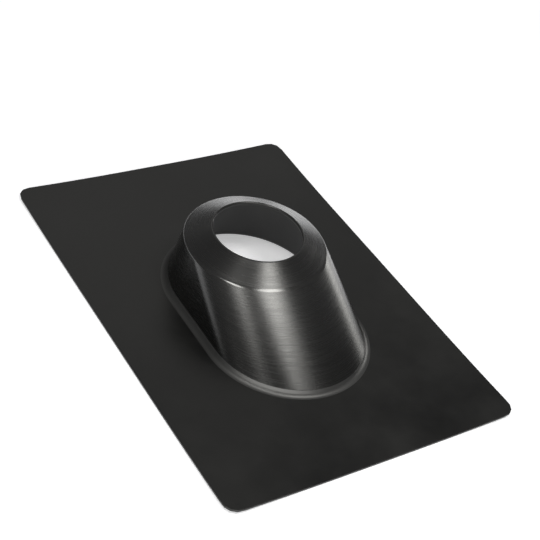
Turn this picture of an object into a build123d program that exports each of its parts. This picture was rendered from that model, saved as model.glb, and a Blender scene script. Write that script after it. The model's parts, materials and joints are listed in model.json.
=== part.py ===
"""A moulded pipe flashing: a thin flange with a hollow boot that closes in to a round pipe collar.

Millimetres. The flange lies flat with its underside at z = 0. +Z is up through the collar,
and +Y is the uphill end. The origin is the middle of the flange's underside.
"""

import os
from math import atan2, hypot, sin

from build123d import *

# Flange
flange_width = 320.0
flange_length = 447.0
flange_thickness = 2.4
flange_corner_radius = 13.0
flange_rim_round = 0.7

# Boot: a low foot that flares out to the flange, on the outline of a slot, and a leaning wall that
# turns from the slot into a ring at the ridge.
# The ring stands over the slot's rear half round, and the front half round reaches downhill of it.
wall = 2.6
ring_center = 22.0
front_center = -54.5
base_radius = 78.5
foot_rise = 5.2
foot_flare = 3.0
foot_cove = 8.0
mouth_round = 6.4
ridge_radius = 71.0
ridge_height = 58.0
ridge_round = 0.9

# Collar: a shallow cone from the ridge up to the lip of the pipe hole
pipe_diameter = 88.9
collar_rise = 13.0
lip_width = 1.5
lip_depth = 3.2

# Half the short arc of a ring, in degrees, that runs down into a straight side of the slot
side_arc = 1.5

foot_height = flange_thickness + foot_rise
wall_rise = ridge_height - foot_height
hole_radius = pipe_diameter / 2
lip_radius = hole_radius + lip_width
lip_height = ridge_height + collar_rise

# A leaning wall of even thickness is wider where it is cut level and deeper where it is cut upright.
side_run = base_radius - ridge_radius
front_run = side_run + ring_center - front_center
collar_run = ridge_radius - lip_radius
side_wall = wall / sin(atan2(wall_rise, side_run))
front_wall = wall / sin(atan2(wall_rise, front_run))
collar_wall = wall * hypot(collar_run, collar_rise) / collar_run

# The hollow keeps an even wall behind the boot and the collar.
hollow_radius = base_radius - side_wall
hollow_front_center = front_center + front_wall - side_wall
hollow_ridge_radius = ridge_radius - side_wall
hollow_ridge_height = ridge_height + side_wall * collar_rise / collar_run - collar_wall

collar_axis = Axis((0, ring_center, 0), (0, 0, 1))
collar_plane = Plane((0, ring_center, 0), x_dir=(1, 0, 0), z_dir=(0, -1, 0))


def slot_outline(radius, front):
    """A slot with one half round centred at y = front and the other under the ring."""
    CenterArc((0, front), radius, 180, 180)
    Line((radius, front), (radius, ring_center))
    CenterArc((0, ring_center), radius, 0, 180)
    Line((-radius, ring_center), (-radius, front))


def ring_outline(radius):
    """A ring in four arcs, one for each edge of the slot below it."""
    CenterArc((0, ring_center), radius, 180 + side_arc, 180 - 2 * side_arc)
    CenterArc((0, ring_center), radius, -side_arc, 2 * side_arc)
    CenterArc((0, ring_center), radius, side_arc, 180 - 2 * side_arc)
    CenterArc((0, ring_center), radius, 180 - side_arc, 2 * side_arc)


with BuildPart() as flashing:
    # Flange
    with BuildSketch():
        RectangleRounded(flange_width, flange_length, flange_corner_radius)
    extrude(amount=flange_thickness)

    # Flaring foot
    with BuildSketch(Plane.XY.offset(flange_thickness)):
        with BuildLine():
            slot_outline(base_radius + foot_flare, front_center)
        make_face()
    with BuildSketch(Plane.XY.offset(foot_height)):
        with BuildLine():
            slot_outline(base_radius, front_center)
        make_face()
    loft(ruled=True)

    # Boot wall, ruled from the slot at the top of the foot to the ring at the ridge
    with BuildSketch(Plane.XY.offset(foot_height)):
        with BuildLine():
            slot_outline(base_radius, front_center)
        make_face()
    with BuildSketch(Plane.XY.offset(ridge_height)):
        with BuildLine():
            ring_outline(ridge_radius)
        make_face()
    loft(ruled=True)

    # Cove where the foot meets the flange, and the soft edge of the flange's rim
    deck = flashing.faces().filter_by(Axis.Z).sort_by(Axis.Z)[1]
    fillet(deck.inner_wires()[0].edges(), foot_cove)
    deck = flashing.faces().filter_by(Axis.Z).sort_by(Axis.Z)[1]
    fillet(deck.outer_wire().edges(), flange_rim_round)

    # Collar cone, from the ridge up to the lip
    with BuildSketch(collar_plane):
        with BuildLine():
            Polyline(
                (0, ridge_height),
                (ridge_radius, ridge_height),
                (lip_radius, lip_height),
                (0, lip_height),
                close=True,
            )
        make_face()
    revolve(axis=collar_axis)
    cone = flashing.faces().filter_by(GeomType.CONE).sort_by(Axis.Z)[-1]
    ridge = cone.edges().group_by(Axis.Z)[0]
    fillet(ridge, ridge_round)

    # Hollow behind the foot and the boot wall, with a rounded mouth in the flange's underside
    with BuildSketch():
        with BuildLine():
            slot_outline(hollow_radius, hollow_front_center)
        make_face()
    extrude(amount=foot_height, mode=Mode.SUBTRACT)
    with BuildSketch(Plane.XY.offset(foot_height)):
        with BuildLine():
            slot_outline(hollow_radius, hollow_front_center)
        make_face()
    with BuildSketch(Plane.XY.offset(hollow_ridge_height)):
        with BuildLine():
            ring_outline(hollow_ridge_radius)
        make_face()
    loft(ruled=True, mode=Mode.SUBTRACT)
    underside = flashing.faces().filter_by(Axis.Z).sort_by(Axis.Z)[0]
    fillet(underside.inner_wires()[0].edges(), mouth_round)

    # Hollow behind the collar cone, up to the lip
    with BuildSketch(collar_plane):
        with BuildLine():
            Polyline(
                (0, hollow_ridge_height),
                (hollow_ridge_radius, hollow_ridge_height),
                (lip_radius, lip_height - lip_depth),
                (0, lip_height - lip_depth),
                close=True,
            )
        make_face()
    revolve(axis=collar_axis, mode=Mode.SUBTRACT)

    # Pipe hole through the lip
    with Locations((0, ring_center, lip_height)):
        Hole(hole_radius)

flashing.part.label = "flashing"
os.makedirs("parts", exist_ok=True)
export_step(flashing.part, "parts/flashing.step")
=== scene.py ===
"""Looks of a moulded pipe flashing.

Its shell in fine mesh, its black moulded finishes and a plain studio.
"""

import json
import logging
import math
from dataclasses import dataclass, field
from enum import Enum

import bmesh
import bpy
from mathutils import Matrix, Vector, noise


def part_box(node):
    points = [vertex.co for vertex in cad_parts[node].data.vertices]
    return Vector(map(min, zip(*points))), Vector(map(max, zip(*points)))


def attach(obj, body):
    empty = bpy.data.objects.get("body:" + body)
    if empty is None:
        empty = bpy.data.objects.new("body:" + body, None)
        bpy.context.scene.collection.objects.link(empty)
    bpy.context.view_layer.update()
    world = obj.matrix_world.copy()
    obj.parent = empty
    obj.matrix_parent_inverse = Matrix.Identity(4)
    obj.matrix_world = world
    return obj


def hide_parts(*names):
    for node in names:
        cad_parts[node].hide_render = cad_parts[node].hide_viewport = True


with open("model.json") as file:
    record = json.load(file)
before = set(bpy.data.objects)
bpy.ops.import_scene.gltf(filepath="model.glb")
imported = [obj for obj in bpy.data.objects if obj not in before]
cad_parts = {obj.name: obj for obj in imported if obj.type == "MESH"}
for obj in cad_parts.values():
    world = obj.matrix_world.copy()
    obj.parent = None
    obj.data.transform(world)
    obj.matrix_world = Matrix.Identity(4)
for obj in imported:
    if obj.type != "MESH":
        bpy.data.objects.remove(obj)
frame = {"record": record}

LOG = logging.getLogger("flashing")
MM = 0.001
UP = Vector((0.0, 0.0, 1.0))
QUARTER_TURN = 0.25
LAMP_TINT = (1.0, 0.99, 0.945)
CAD_NODE = "flashing"
# A level unit vector with a smaller part than this along an axis runs beside that edge.
TINY = 1e-9
# Where the lamps face.
LAMP_AIM = Vector((0.0, -0.02, 0.04))
# The blue of a skin, as a share of its grey.
WARMTH = 0.965


class Surface(Enum):
    """The finish of a stretch of the shell. The value is its material's place on the mesh."""

    FLANGE = 0
    BOOT = 1
    RIDGE = 2
    COVE = 3
    INSIDE = 4


def turn(degrees: float) -> Vector:
    """Gives the level unit vector at an angle from +X, in degrees."""
    angle = math.radians(degrees)
    return Vector((math.cos(angle), math.sin(angle), 0.0))


def rows(count: int, first: tuple[float, ...], last: tuple[float, ...]) -> list[float]:
    """Gives even shares of a straight run, with extra ones close to its two ends."""
    return [*first, *(i / count for i in range(1, count)), *last]


def round_corner(corner: Vector, along_a: Vector, along_b: Vector, radius: float,
                 steps: int) -> list[Vector]:
    """Rounds a corner between two straight faces with an arc that both faces are tangent to.

    Args:
        corner: Where the two faces would meet.
        along_a: Unit vector from the corner along the first face.
        along_b: Unit vector from the corner along the second face.
        radius: The arc's radius.
        steps: How many chords the arc has.

    Returns:
        The arc's points, from the first face to the second.
    """
    half = along_a.angle(along_b) / 2
    centre = corner + (along_a + along_b).normalized() * (radius / math.sin(half))
    start = corner + along_a * (radius / math.tan(half)) - centre
    axis = start.cross(corner + along_b * (radius / math.tan(half)) - centre).normalized()
    sweep = math.pi - 2 * half
    return [centre + Matrix.Rotation(sweep * i / steps, 3, axis) @ start for i in range(steps + 1)]


@dataclass(frozen=True)
class Station:
    """One place round the boot.

    Attributes:
        along: Where its centre lies on the slot's spine, 0 at the front half round and 1 at
            the rear one.
        outward: Level unit vector out of the slot.
        ring: Level unit vector to the paired point of the ridge's ring.
    """

    along: float
    outward: Vector
    ring: Vector


@dataclass
class Flashing:
    """The flashing's one shell: flange, cove, boot wall, collar and hollow. Sizes in metres."""

    width: float
    length: float
    lip_height: float
    hole_radius: float
    lip_depth: float
    ring_center: float
    flange_thickness: float = 2.4 * MM
    corner_radius: float = 13.0 * MM
    rim_round: float = 0.7 * MM
    wall: float = 2.6 * MM
    front_center: float = -54.5 * MM
    base_radius: float = 78.5 * MM
    foot_rise: float = 5.2 * MM
    foot_flare: float = 3.0 * MM
    foot_cove: float = 6.4 * MM
    foot_round: float = 0.3 * MM
    heel_round: float = 0.5 * MM
    mouth_round: float = 6.4 * MM
    ridge_radius: float = 71.0 * MM
    ridge_height: float = 58.0 * MM
    ridge_break: float = 1.2 * MM
    shoulder_round: float = 0.9 * MM
    lip_width: float = 1.5 * MM
    lip_round: float = 0.4 * MM
    side_arc: float = 1.5
    arc_steps: int = 120
    side_steps: int = 24
    corner_lift: float = 2.6 * MM
    curl_across: float = 2.5
    curl_along: float = 4.0
    ripple: float = 0.35 * MM
    ripple_scale: float = 9.0
    ripple_slice: float = 4.0
    ripple_side: float = 0.62
    ripple_end: float = 0.72
    mesh: bmesh.types.BMesh | None = field(default=None, init=False)
    loop: list[bmesh.types.BMVert] = field(default_factory=list, init=False)
    drawn: list[bmesh.types.BMVert] = field(default_factory=list, init=False)

    def __post_init__(self) -> None:
        """Works out the stations and the sizes that follow from the driving ones."""
        self.stations = self.round_the_boot()
        self.lip_radius = self.hole_radius + self.lip_width
        run = self.ridge_radius - self.lip_radius
        rise = self.lip_height - self.ridge_height
        self.collar_down = Vector((run, 0.0, -rise)).normalized()
        self.foot_height = self.flange_thickness + self.foot_rise
        side_run = self.base_radius - self.ridge_radius
        side_wall = self.level_wall(side_run)
        front_wall = self.level_wall(side_run + self.ring_center - self.front_center)
        collar_wall = self.wall * math.hypot(run, rise) / run
        self.hollow_radius = self.base_radius - side_wall
        self.hollow_front_center = self.front_center + front_wall - side_wall
        self.hollow_ridge_radius = self.ridge_radius - side_wall
        self.hollow_ridge_height = self.ridge_height + side_wall * rise / run - collar_wall

    def level_wall(self, run: float) -> float:
        """Gives how wide a leaning wall is where it is cut level, from its run up to the ridge."""
        rise = self.ridge_height - self.foot_height
        return self.wall * math.hypot(run, rise) / rise

    def round_the_boot(self) -> list[Station]:
        """Walks round the slot: front half round, right side, rear half round, left side.

        Returns:
            The stations, each with its paired place on the ring.
        """
        found = []
        split = self.side_arc
        for start, along in ((180.0, 0.0), (0.0, 1.0)):
            for i in range(self.arc_steps):
                share = i / self.arc_steps
                ring_angle = start + split + (180.0 - 2 * split) * share
                found.append(Station(along, turn(start + 180.0 * share), turn(ring_angle)))
            for i in range(self.side_steps):
                share = i / self.side_steps
                side = start + 180.0
                spine = along + (1.0 - 2 * along) * share
                found.append(Station(spine, turn(side), turn(side - split + 2 * split * share)))
        return found

    def on_slot(self, place: Station, radius: float, front: float) -> Vector:
        """Gives the place's point at z = 0 on a slot from a front centre to the ring's centre."""
        spine = Vector((0.0, front + (self.ring_center - front) * place.along, 0.0))
        return spine + place.outward * radius

    def on_ring(self, place: Station, radius: float, height: float) -> Vector:
        """Gives the place's point on a ring about the collar's axis."""
        return Vector((0.0, self.ring_center, height)) + place.ring * radius

    def rim_point(self, place: Station, inset: float) -> Vector:
        """Follows a place outwards, level, to the flange's rounded outline.

        Args:
            place: The station.
            inset: How far inside the true outline to stop.

        Returns:
            The point on the outline, at z = 0.
        """
        origin = self.on_slot(place, 0.0, self.front_center)
        way = place.outward
        half = Vector((self.width / 2 - inset, self.length / 2 - inset))
        radius = self.corner_radius - inset
        reaches = []
        for axis in (0, 1):
            if abs(way[axis]) > TINY:
                reaches.append((math.copysign(half[axis], way[axis]) - origin[axis]) / way[axis])
        hit = origin + way * min(reaches)
        corner_x = math.copysign(half.x - radius, hit.x)
        corner_y = math.copysign(half.y - radius, hit.y)
        centre = Vector((corner_x, corner_y, 0.0))
        if abs(hit.x) <= abs(centre.x) or abs(hit.y) <= abs(centre.y):
            return hit
        offset = origin - centre
        slope = offset.dot(way)
        square = slope * slope - offset.length_squared + radius * radius
        return origin + way * (math.sqrt(square) - slope)

    @staticmethod
    def between(a: bmesh.types.BMVert, b: bmesh.types.BMVert) -> bmesh.types.BMEdge:
        """Finds the edge that joins two neighbouring vertices."""
        return next(e for e in a.link_edges if e.other_vert(a) is b)

    def edges_of(self, loop: list[bmesh.types.BMVert]) -> list[bmesh.types.BMEdge]:
        """Lists the edges round a closed loop of vertices."""
        return [self.between(a, b) for a, b in zip(loop, loop[1:] + loop[:1])]

    def draw_to(self, section: list[Vector], surface: Surface) -> None:
        """Extrudes the open edge of the shell onto its next section.

        Args:
            section: Where the new edge goes, one point for each station.
            surface: The finish of the new strip.
        """
        made = bmesh.ops.extrude_edge_only(self.mesh, edges=self.edges_of(self.loop))["geom"]
        new_verts = {g for g in made if isinstance(g, bmesh.types.BMVert)}
        for face in (g for g in made if isinstance(g, bmesh.types.BMFace)):
            face.material_index = surface.value
        self.loop = [next(v for e in old.link_edges if (v := e.other_vert(old)) in new_verts)
                     for old in self.loop]
        for vert, point in zip(self.loop, section):
            vert.co = point
        self.drawn += self.loop

    def draw_round(self, arcs: list[list[Vector]], surface: Surface) -> None:
        """Draws the shell round a corner, given one arc for each station."""
        for section in zip(*arcs):
            self.draw_to(list(section), surface)

    def draw_straight(self, goal: list[Vector], shares: list[float], surface: Surface) -> None:
        """Draws the shell along straight lines from its open edge towards a goal section.

        Args:
            goal: The section that the lines lead to.
            shares: How far along the lines each new section lies, from 0 to 1.
            surface: The finish of the strips.
        """
        start = [vert.co.copy() for vert in self.loop]
        for share in shares:
            self.draw_to([a.lerp(b, share) for a, b in zip(start, goal)], surface)

    def draw_collar(self) -> None:
        """Draws the lip, the collar's cone and the ridge's soft edge."""
        brims, edges = [], []
        for s in self.stations:
            down = s.ring * self.collar_down.x + UP * self.collar_down.z
            lip = self.on_ring(s, self.lip_radius, self.lip_height)
            brims.append(round_corner(lip, -s.ring, down, self.lip_round, 4))
            foot = self.on_slot(s, self.base_radius, self.front_center) + UP * self.foot_height
            ridge = self.on_ring(s, self.ridge_radius, self.ridge_height)
            fall = self.slope(ridge, foot, s.ring)
            radius = self.ridge_break * math.tan(fall.angle(-down) / 2)
            edges.append(round_corner(ridge, -down, fall, radius, 6))
        self.draw_round(brims, Surface.BOOT)
        self.draw_straight([e[0] for e in edges], rows(12, (0.02,), (0.98,)), Surface.BOOT)
        self.draw_round(edges, Surface.RIDGE)

    def draw_wall(self) -> None:
        """Draws the boot's outer wall, the crease above its foot and the cove to the flange."""
        edges, coves = [], []
        for s in self.stations:
            foot = self.on_slot(s, self.base_radius, self.front_center) + UP * self.foot_height
            toe = self.on_slot(s, self.base_radius + self.foot_flare, self.front_center)
            toe += UP * self.flange_thickness
            ridge = self.on_ring(s, self.ridge_radius, self.ridge_height)
            flare = (toe - foot).normalized()
            climb = self.slope(foot, ridge, s.outward)
            edges.append(round_corner(foot, climb, flare, self.foot_round, 4))
            coves.append(round_corner(toe, -flare, s.outward, self.foot_cove, 16))
        self.draw_straight([e[0] for e in edges], rows(40, (0.01,), (0.99,)), Surface.BOOT)
        self.draw_round(edges, Surface.BOOT)
        self.draw_round(coves, Surface.COVE)

    @staticmethod
    def slope(start: Vector, end: Vector, level: Vector) -> Vector:
        """Gives the unit vector from start to end, in the upright plane along a level vector."""
        way = end - start
        return (level * way.dot(level) + UP * way.z).normalized()

    def draw_flange(self) -> None:
        """Draws the flange's deck and its rim, as far as the underside."""
        top = self.flange_thickness
        soft = self.rim_round
        inner = [self.rim_point(s, soft) + UP * top for s in self.stations]
        self.draw_straight(inner, rows(16, (0.01,), (0.97, 0.99)), Surface.FLANGE)
        crown = [(soft * (1 - math.sin(a)), top - soft * (1 - math.cos(a)))
                 for a in self.quarter(4)]
        below = [(soft / 2 * (1 - math.cos(a)), soft / 2 * (1 - math.sin(a)))
                 for a in self.quarter(3)]
        for inset, height in crown + below:
            section = [self.rim_point(s, inset) + UP * height for s in self.stations]
            self.draw_to(section, Surface.FLANGE)

    @staticmethod
    def quarter(steps: int) -> list[float]:
        """Gives the angles of a quarter turn in even steps, in radians."""
        return [math.pi / 2 * i / steps for i in range(steps + 1)]

    def draw_hollow(self) -> None:
        """Draws the underside, the rounded mouth and the hollow, up to the hole's lower edge."""
        mouths, heels, shoulders = [], [], []
        for s in self.stations:
            mouth = self.on_slot(s, self.hollow_radius, self.hollow_front_center)
            foot = mouth + UP * self.foot_height
            ridge = self.on_ring(s, self.hollow_ridge_radius, self.hollow_ridge_height)
            mouths.append(round_corner(mouth, s.outward, UP, self.mouth_round, 10))
            climb = self.slope(foot, ridge, s.outward)
            heels.append(round_corner(foot, -UP, climb, self.heel_round, 3))
            fall = self.slope(ridge, foot, s.ring)
            up_collar = -s.ring * self.collar_down.x - UP * self.collar_down.z
            shoulders.append(round_corner(ridge, fall, up_collar, self.shoulder_round, 3))
        self.draw_straight([m[0] for m in mouths], rows(12, (0.01, 0.03), (0.99,)), Surface.FLANGE)
        self.draw_round(mouths, Surface.INSIDE)
        self.draw_round(heels, Surface.INSIDE)
        self.draw_straight([e[0] for e in shoulders], rows(12, (0.01,), (0.99,)), Surface.INSIDE)
        self.draw_round(shoulders, Surface.INSIDE)
        low = self.lip_height - self.lip_depth
        brims = [self.on_ring(s, self.lip_radius, low) for s in self.stations]
        self.draw_straight(brims, [0.5, 0.98, 1.0], Surface.INSIDE)
        edge = [self.on_ring(s, self.hole_radius, low) for s in self.stations]
        self.draw_to(edge, Surface.INSIDE)

    def lift(self, point: Vector) -> float:
        """Gives how far the limp flange stands off the floor at a point, by its curl and ripple."""
        across = abs(point.x) / (self.width / 2)
        reach = abs(point.y) / (self.length / 2)
        curl = self.corner_lift * across ** self.curl_across * reach ** self.curl_along
        near_side = (across - self.ripple_side) / (1.0 - self.ripple_side)
        near_end = (reach - self.ripple_end) / (1.0 - self.ripple_end)
        edge = min(1.0, max(0.0, near_side, near_end))
        scale = self.ripple_scale
        place = Vector((point.x * scale, point.y * scale, self.ripple_slice))
        wave = 0.5 + 0.5 * noise.noise(place)
        return curl + self.ripple * wave * edge

    def settle(self) -> None:
        """Puts the mesh in the order it was drawn in, so that it is the same each run."""
        for i, vert in enumerate(self.drawn):
            vert.index = i
        self.mesh.verts.sort()
        self.mesh.verts.index_update()
        for group in (self.mesh.edges, self.mesh.faces):
            ordered = sorted(group, key=lambda item: sorted(v.index for v in item.verts))
            for i, item in enumerate(ordered):
                item.index = i
            group.sort()
            group.index_update()

    def build(self) -> bpy.types.Object:
        """Draws the whole shell from the hole's upper edge round to its lower one, and closes it.

        Returns:
            The finished piece, at the origin.
        """
        self.mesh = bmesh.new()
        count = len(self.stations)
        ring = bmesh.ops.create_circle(self.mesh, segments=count, radius=self.hole_radius)
        hole = sorted(ring["verts"], key=lambda v: math.atan2(v.co.y, v.co.x) % math.tau)
        for vert, s in zip(hole, self.stations):
            vert.co = self.on_ring(s, self.hole_radius, self.lip_height)
        self.loop = hole
        self.drawn = list(hole)
        self.draw_collar()
        self.draw_wall()
        self.draw_flange()
        self.draw_hollow()
        edges = self.edges_of(hole) + self.edges_of(self.loop)
        for face in bmesh.ops.bridge_loops(self.mesh, edges=edges)["faces"]:
            face.material_index = Surface.INSIDE.value
        self.settle()
        for vert in self.mesh.verts:
            vert.co.z += self.lift(vert.co)
        bmesh.ops.recalc_face_normals(self.mesh, faces=self.mesh.faces)
        for face in self.mesh.faces:
            face.smooth = True
        data = bpy.data.meshes.new("flashing_shell")
        self.mesh.to_mesh(data)
        self.mesh.free()
        piece = bpy.data.objects.new("flashing_shell", data)
        bpy.context.scene.collection.objects.link(piece)
        return piece

    def dress(self, piece: bpy.types.Object, finishes: dict[Surface, bpy.types.Material]) -> None:
        """Gives the piece its materials, in the order of the surfaces."""
        for surface in Surface:
            piece.data.materials.append(finishes[surface])


@dataclass
class Wiring:
    """A node tree that is being wired."""

    tree: bpy.types.NodeTree

    def add(self, kind: str, inputs: dict, **settings: object) -> bpy.types.Node:
        """Adds a node.

        Args:
            kind: The node's type.
            inputs: A value or a socket to link from, for each input that isn't left as it is.
            settings: The node's own properties.

        Returns:
            The node.
        """
        node = self.tree.nodes.new(kind)
        for name, value in settings.items():
            setattr(node, name, value)
        for name, value in inputs.items():
            if isinstance(value, bpy.types.NodeSocket):
                self.tree.links.new(value, node.inputs[name])
            else:
                node.inputs[name].default_value = value
        return node

    def noise(self, vector: bpy.types.NodeSocket, scale: object, detail: float,
              rough: float) -> bpy.types.NodeSocket:
        """Adds a noise texture and returns its value."""
        wanted = {"Vector": vector, "Scale": scale, "Detail": detail, "Roughness": rough}
        return self.add("ShaderNodeTexNoise", wanted).outputs["Fac"]

    def span(self, value: bpy.types.NodeSocket, low: object, high: object, to_low: object,
             to_high: object) -> bpy.types.NodeSocket:
        """Maps a value from one range onto another, clamped, and returns the result."""
        wanted = {"Value": value, "From Min": low, "From Max": high, "To Min": to_low,
                  "To Max": to_high}
        return self.add("ShaderNodeMapRange", wanted).outputs["Result"]

    def math(self, operation: str, a: object, b: object) -> bpy.types.NodeSocket:
        """Adds a Math node and returns its value."""
        return self.add("ShaderNodeMath", {0: a, 1: b}, operation=operation).outputs["Value"]


class Effects:
    """The effects that the finishes share, each a node group that is built once."""

    def __init__(self) -> None:
        """Builds the groups."""
        self.turned_lines = self.build_turned_lines()
        self.moulded_grain = self.build_moulded_grain()
        self.handling = self.build_handling()

    @staticmethod
    def start(name: str, inputs: dict[str, float],
              outputs: list[str]) -> tuple[Wiring, bpy.types.Node, bpy.types.Node]:
        """Opens a new group.

        Args:
            name: The group's name.
            inputs: Its inputs with their defaults.
            outputs: Its outputs.

        Returns:
            Its wiring, its input node and its output node.
        """
        tree = bpy.data.node_groups.new(name, "ShaderNodeTree")
        for label, default in inputs.items():
            socket = tree.interface.new_socket(label, in_out="INPUT", socket_type="NodeSocketFloat")
            socket.default_value = default
        for label in outputs:
            tree.interface.new_socket(label, in_out="OUTPUT", socket_type="NodeSocketFloat")
        wiring = Wiring(tree)
        return wiring, wiring.add("NodeGroupInput", {}), wiring.add("NodeGroupOutput", {})

    def build_turned_lines(self) -> bpy.types.NodeTree:
        """Fine level lines left by the turned mould, and a mask of their streaks."""
        given_values = {"Lines per Metre": 1000.0, "Breaks per Metre": 14.0}
        w, given, result = self.start("turned_lines", given_values, ["Height", "Streak"])
        place = w.add("ShaderNodeTexCoord", {}).outputs["Object"]
        parts = w.add("ShaderNodeSeparateXYZ", {"Vector": place}).outputs
        across = w.math("MULTIPLY", parts["X"], given.outputs["Breaks per Metre"])
        along = w.math("MULTIPLY", parts["Y"], given.outputs["Breaks per Metre"])
        fine = w.math("MULTIPLY", parts["Z"], given.outputs["Lines per Metre"])
        broad = w.math("MULTIPLY", fine, 0.7)
        level = {"X": across, "Y": along}
        fine_at = w.add("ShaderNodeCombineXYZ", {**level, "Z": fine}).outputs["Vector"]
        broad_at = w.add("ShaderNodeCombineXYZ", {**level, "Z": broad}).outputs["Vector"]
        streak = w.span(w.noise(fine_at, 1.0, 3.0, 0.7), 0.3, 0.7, 0.0, 1.0)
        w.tree.links.new(w.noise(broad_at, 1.0, 1.0, 0.5), result.inputs["Height"])
        w.tree.links.new(streak, result.inputs["Streak"])
        return w.tree

    def build_moulded_grain(self) -> bpy.types.NodeTree:
        """The fine pebbled grain of a moulded skin."""
        w, given, result = self.start("moulded_grain", {"Grains per Metre": 900.0}, ["Height"])
        place = w.add("ShaderNodeTexCoord", {}).outputs["Object"]
        grains = w.noise(place, given.outputs["Grains per Metre"], 2.0, 0.5)
        w.tree.links.new(grains, result.inputs["Height"])
        return w.tree

    def build_handling(self) -> bpy.types.NodeTree:
        """Soft patches where a skin is dusty or rubbed."""
        w, given, result = self.start("handling", {"Patches per Metre": 14.0}, ["Mask"])
        place = w.add("ShaderNodeTexCoord", {}).outputs["Object"]
        patches = w.noise(place, given.outputs["Patches per Metre"], 5.0, 0.62)
        w.tree.links.new(w.span(patches, 0.35, 0.68, 0.0, 1.0), result.inputs["Mask"])
        return w.tree


class Along(Enum):
    """The axis that a polished stretch runs along. The value is the axis's name in the nodes."""

    LENGTH = "Y"
    HEIGHT = "Z"


@dataclass(frozen=True)
class Polish:
    """A stretch of skin that the mould left glossier, as a clear coat that comes in along an axis.

    Attributes:
        along: The axis.
        start: Where the coat begins, in metres.
        full: Where it is full, in metres.
        weight: How strong it is there, from 0 to 1.
        roughness: Its roughness.
    """

    along: Along
    start: float
    full: float
    weight: float
    roughness: float


@dataclass(frozen=True)
class MouldedFinish:
    """A black moulded skin.

    Attributes:
        name: The material's name.
        clean: Its linear grey where it is clean.
        dusty: Its linear grey where it is dusty or rubbed.
        glossy: Its roughness where it is clean.
        dull: Its roughness where it is dusty or rubbed.
        patches: How many dusty patches there are in a metre.
        grain: How many grains of the skin there are in a metre.
        grain_depth: How deep the grain is, in metres.
        lines: How many turned lines there are in a metre of height, 0 for none.
        line_depth: How deep the turned lines are, in metres.
        streaking: How much the streaks of the turned lines add to the roughness.
        stretch: How far the turned lines stretch a highlight across themselves, from 0 to 1.
        specular: How strongly it reflects, 0.5 for a plain moulding.
        polish: Where it is glossier, if anywhere.
    """

    name: str
    clean: float
    dusty: float
    glossy: float
    dull: float
    patches: float = 14.0
    grain: float = 900.0
    grain_depth: float = 0.03 * MM
    lines: float = 0.0
    line_depth: float = 0.0
    streaking: float = 0.0
    stretch: float = 0.0
    specular: float = 0.5
    polish: Polish | None = None

    def build(self, effects: Effects) -> bpy.types.Material:
        """Builds the material.

        Args:
            effects: The shared node groups.

        Returns:
            The material.
        """
        material = bpy.data.materials.new(self.name)
        material.use_nodes = True
        w = Wiring(material.node_tree)
        skin = material.node_tree.nodes["Principled BSDF"]
        skin.inputs["Specular IOR Level"].default_value = self.specular
        dust = w.add("ShaderNodeGroup", {}, node_tree=effects.handling)
        dust.inputs["Patches per Metre"].default_value = self.patches
        grey = w.span(dust.outputs["Mask"], 0.0, 1.0, self.clean, self.dusty)
        warm = w.math("MULTIPLY", grey, WARMTH)
        colour = w.add("ShaderNodeCombineColor", {"Red": grey, "Green": grey, "Blue": warm})
        material.node_tree.links.new(colour.outputs["Color"], skin.inputs["Base Color"])
        gloss = w.span(dust.outputs["Mask"], 0.0, 1.0, self.glossy, self.dull)
        grain = w.add("ShaderNodeGroup", {}, node_tree=effects.moulded_grain)
        grain.inputs["Grains per Metre"].default_value = self.grain
        wanted = {"Height": grain.outputs["Height"], "Distance": self.grain_depth}
        shape = w.add("ShaderNodeBump", wanted).outputs["Normal"]
        if self.lines:
            turned = w.add("ShaderNodeGroup", {}, node_tree=effects.turned_lines)
            turned.inputs["Lines per Metre"].default_value = self.lines
            streak = w.span(turned.outputs["Streak"], 0.0, 1.0, 0.0, self.streaking)
            gloss = w.math("ADD", gloss, streak)
            wanted = {"Height": turned.outputs["Height"], "Distance": self.line_depth,
                      "Normal": shape}
            shape = w.add("ShaderNodeBump", wanted).outputs["Normal"]
            around = w.add("ShaderNodeTangent", {}, direction_type="RADIAL", axis="Z")
            material.node_tree.links.new(around.outputs["Tangent"], skin.inputs["Tangent"])
            skin.inputs["Anisotropic"].default_value = self.stretch
            skin.inputs["Anisotropic Rotation"].default_value = QUARTER_TURN
        if self.polish:
            place = w.add("ShaderNodeTexCoord", {}).outputs["Object"]
            way = w.add("ShaderNodeSeparateXYZ", {"Vector": place}).outputs[self.polish.along.value]
            coat = w.span(way, self.polish.start, self.polish.full, 0.0, self.polish.weight)
            material.node_tree.links.new(coat, skin.inputs["Coat Weight"])
            skin.inputs["Coat Roughness"].default_value = self.polish.roughness
        material.node_tree.links.new(gloss, skin.inputs["Roughness"])
        material.node_tree.links.new(shape, skin.inputs["Normal"])
        return material


FINISHES = {
    Surface.FLANGE: MouldedFinish(
        "flange_skin", clean=0.002, dusty=0.012, glossy=0.30, dull=0.46, patches=9.0),
    Surface.BOOT: MouldedFinish(
        "turned_skin", clean=0.004, dusty=0.006, glossy=0.20, dull=0.24, lines=900.0,
        line_depth=0.008 * MM, streaking=0.10, stretch=0.4,
        polish=Polish(Along.HEIGHT, 14.0 * MM, 54.0 * MM, 0.8, 0.26)),
    Surface.RIDGE: MouldedFinish(
        "polished_ridge", clean=0.008, dusty=0.012, glossy=0.16, dull=0.20, specular=1.0),
    Surface.COVE: MouldedFinish(
        "soft_cove", clean=0.006, dusty=0.009, glossy=0.44, dull=0.50, specular=0.85,
        polish=Polish(Along.LENGTH, -58.0 * MM, -92.0 * MM, 1.0, 0.44)),
    Surface.INSIDE: MouldedFinish(
        "inner_skin", clean=0.010, dusty=0.016, glossy=0.48, dull=0.60),
}


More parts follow.
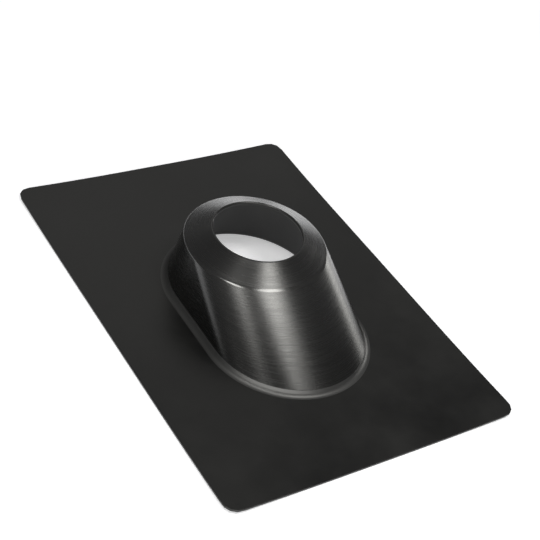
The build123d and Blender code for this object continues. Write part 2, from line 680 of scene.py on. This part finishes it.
@dataclass(frozen=True)
class SoftBox:
    """A soft studio lamp that faces the middle of the object.

    Attributes:
        name: The lamp's name.
        azimuth: Where it stands round the object, in degrees. 0 is in front of the front end,
            90 to the right.
        elevation: How high it stands, in degrees.
        distance: How far from the object it is.
        width: Its level size.
        height: Its other size.
        radiance: How bright its face is, where 1 is white.
    """

    name: str
    azimuth: float
    elevation: float
    distance: float
    width: float
    height: float
    radiance: float

    def build(self) -> None:
        """Makes the lamp."""
        lamp = bpy.data.lights.new(self.name, "AREA")
        lamp.shape = "RECTANGLE"
        lamp.size = self.width
        lamp.size_y = self.height
        lamp.energy = self.radiance * math.pi * self.width * self.height
        lamp.color = LAMP_TINT
        holder = bpy.data.objects.new(self.name, lamp)
        holder.visible_camera = False
        holder.matrix_world = looking_from(LAMP_AIM, self.azimuth, self.elevation, self.distance,
                                           0.0)
        bpy.context.scene.collection.objects.link(holder)


def looking_from(aim: Vector, azimuth: float, elevation: float, distance: float,
                 roll: float) -> Matrix:
    """Stands something at a distance from a point, facing it.

    Args:
        aim: The point to face.
        azimuth: The angle round the point, in degrees. 0 looks along +Y.
        elevation: The angle above the level, in degrees.
        distance: The distance from the point.
        roll: The turn about the line of sight, in degrees.

    Returns:
        The matrix of a camera or lamp there.
    """
    across = turn(azimuth)
    level = Vector((across.y, -across.x, 0.0))
    rise = math.radians(elevation)
    back = level * math.cos(rise) + UP * math.sin(rise)
    tilt = math.radians(roll)
    over = back.cross(across)
    right = across * math.cos(tilt) + over * math.sin(tilt)
    axes = Matrix((right, back.cross(right), back)).transposed()
    return Matrix.Translation(aim + back * distance) @ axes.to_4x4()


@dataclass
class Studio:
    """The floor, the lamps, the world and the camera."""

    floor_size: float = 12.0
    floor_paint: tuple[float, float, float, float] = (0.90, 0.909, 0.95, 1.0)
    floor_roughness: float = 0.9
    floor_specular: float = 0.1
    floor_glow: float = 0.42
    floor_gap: float = 0.2 * MM
    world_grey: float = 0.16
    aim: Vector = field(default_factory=lambda: Vector((18.0, 11.3, 24.8)) * MM)
    azimuth: float = -41.14
    elevation: float = 39.32
    roll: float = 15.14
    distance: float = 1226.0 * MM
    lens: float = 82.47
    lamps: tuple[SoftBox, ...] = (
        SoftBox("key_box", azimuth=29.0, elevation=69.5, distance=3.0,
                width=1.05, height=0.75, radiance=11.0),
        SoftBox("fill_box", azimuth=-68.0, elevation=66.5, distance=3.0,
                width=0.75, height=0.7, radiance=12.0),
        SoftBox("side_box", azimuth=94.0, elevation=5.0, distance=2.6,
                width=1.2, height=0.45, radiance=3.6),
        SoftBox("front_box", azimuth=-36.0, elevation=17.0, distance=2.6,
                width=4.2, height=0.9, radiance=4.6),
        SoftBox("back_box", azimuth=157.0, elevation=40.0, distance=3.0,
                width=2.2, height=1.1, radiance=0.5),
    )

    def build_floor(self) -> None:
        """Lays the pale floor just under the flange."""
        mesh = bmesh.new()
        bmesh.ops.create_grid(mesh, x_segments=2, y_segments=2, size=self.floor_size / 2)
        bmesh.ops.translate(mesh, verts=mesh.verts, vec=(0.0, 0.0, -self.floor_gap))
        data = bpy.data.meshes.new("floor")
        mesh.to_mesh(data)
        mesh.free()
        floor = bpy.data.objects.new("floor", data)
        bpy.context.scene.collection.objects.link(floor)
        paint = bpy.data.materials.new("floor_paint")
        paint.use_nodes = True
        skin = paint.node_tree.nodes["Principled BSDF"]
        skin.inputs["Base Color"].default_value = self.floor_paint
        skin.inputs["Roughness"].default_value = self.floor_roughness
        skin.inputs["Specular IOR Level"].default_value = self.floor_specular
        w = Wiring(paint.node_tree)
        ray = w.add("ShaderNodeLightPath", {}).outputs
        seen = w.math("ADD", ray["Is Camera Ray"], ray["Is Glossy Ray"])
        seen = w.math("ADD", seen, ray["Is Transmission Ray"])
        skin.inputs["Emission Color"].default_value = (1.0, 1.0, 1.0, 1.0)
        glow = w.math("MULTIPLY", seen, self.floor_glow)
        paint.node_tree.links.new(glow, skin.inputs["Emission Strength"])
        data.materials.append(paint)

    def build_world(self) -> None:
        """Gives the world one plain grey, and the picture plain colours."""
        world = bpy.data.worlds.new("studio")
        world.use_nodes = True
        grey = world.node_tree.nodes["Background"].inputs
        grey["Color"].default_value = (self.world_grey, self.world_grey, self.world_grey, 1.0)
        bpy.context.scene.world = world
        bpy.context.scene.view_settings.view_transform = "Standard"

    def build_camera(self) -> None:
        """Stands the camera where the photograph was taken from."""
        lens = bpy.data.cameras.new("camera")
        lens.lens = self.lens
        camera = bpy.data.objects.new("camera", lens)
        camera.matrix_world = looking_from(self.aim, self.azimuth, self.elevation, self.distance,
                                           self.roll)
        bpy.context.scene.collection.objects.link(camera)
        bpy.context.scene.camera = camera

    def build(self) -> None:
        """Builds the whole studio."""
        self.build_floor()
        self.build_world()
        self.build_camera()
        for lamp in self.lamps:
            lamp.build()


def pipe_hole() -> dict:
    """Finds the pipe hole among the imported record's mounts."""
    return next(m for m in frame["record"]["mounts"] if m["name"] == "pipe_hole")


def main() -> None:
    """Builds the shell, dresses it, and sets it in the studio."""
    logging.basicConfig(level=logging.INFO, format="%(name)s: %(message)s")
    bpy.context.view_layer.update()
    low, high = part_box(CAD_NODE)
    hole = pipe_hole()
    flashing = Flashing(width=high.x - low.x, length=high.y - low.y, lip_height=high.z,
                        hole_radius=hole["dims"]["r_mm"] * MM,
                        lip_depth=hole["dims"]["length_mm"] * MM,
                        ring_center=hole["pos_m"][1])
    shell = flashing.build()
    effects = Effects()
    flashing.dress(shell, {surface: finish.build(effects) for surface, finish in FINISHES.items()})
    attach(shell, "root")
    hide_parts(CAD_NODE)
    LOG.info("%s: %d faces", shell.name, len(shell.data.polygons))
    Studio().build()


if __name__ == "__main__":
    main()
